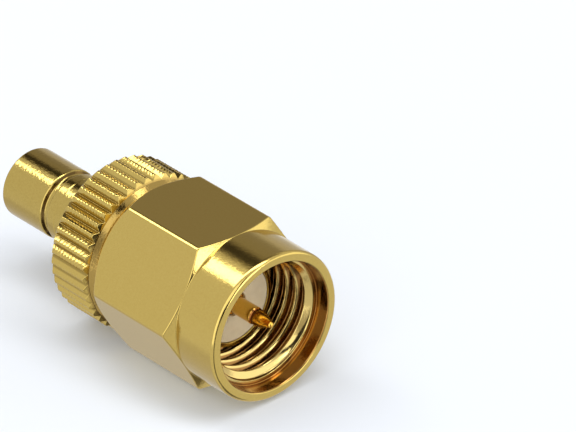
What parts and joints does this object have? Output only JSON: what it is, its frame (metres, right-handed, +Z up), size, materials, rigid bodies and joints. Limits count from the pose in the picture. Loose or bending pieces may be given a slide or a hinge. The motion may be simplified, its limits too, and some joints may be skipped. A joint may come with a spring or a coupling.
{
  "type": "coaxial adapter",
  "caption": "Straight coaxial adapter with a captive hex coupling nut over a male pin on one end, a knurled flange, and a smooth push-on jack on the other.",
  "frame": {"origin": "on the axis, in the SMA reference plane at the root of the centre pin", "axes": "+X along the axis, out of the SMA mouth; +Z up, square to one of the nut's flats"},
  "size_m": [0.0185, 0.0092, 0.0084],
  "materials": {
    "gold_plate": "polished gold plate on turned brass",
    "spring_bronze": "plain spring bronze",
    "ptfe": "turned, slightly translucent fluoropolymer"
  },
  "bodies": {
    "adapter_body": {"body": "gold_plate", "smb_barrel": "gold_plate", "sma_insulator": "ptfe", "smb_insulator": "ptfe", "centre_contact": "gold_plate"},
    "ring_carrier": {"retaining_ring": "spring_bronze"},
    "nut": {"coupling_nut": "gold_plate"}
  },
  "joints": [
    {"name": "nut_float", "type": "slide", "parent": "adapter_body", "child": "ring_carrier", "axis": [1, 0, 0], "range_m": [-0.0001, 0.0001]},
    {"name": "nut_spin", "type": "hinge", "parent": "ring_carrier", "child": "nut", "pos_m": [0, 0, 0], "axis": [1, 0, 0], "continuous": true}
  ]
}
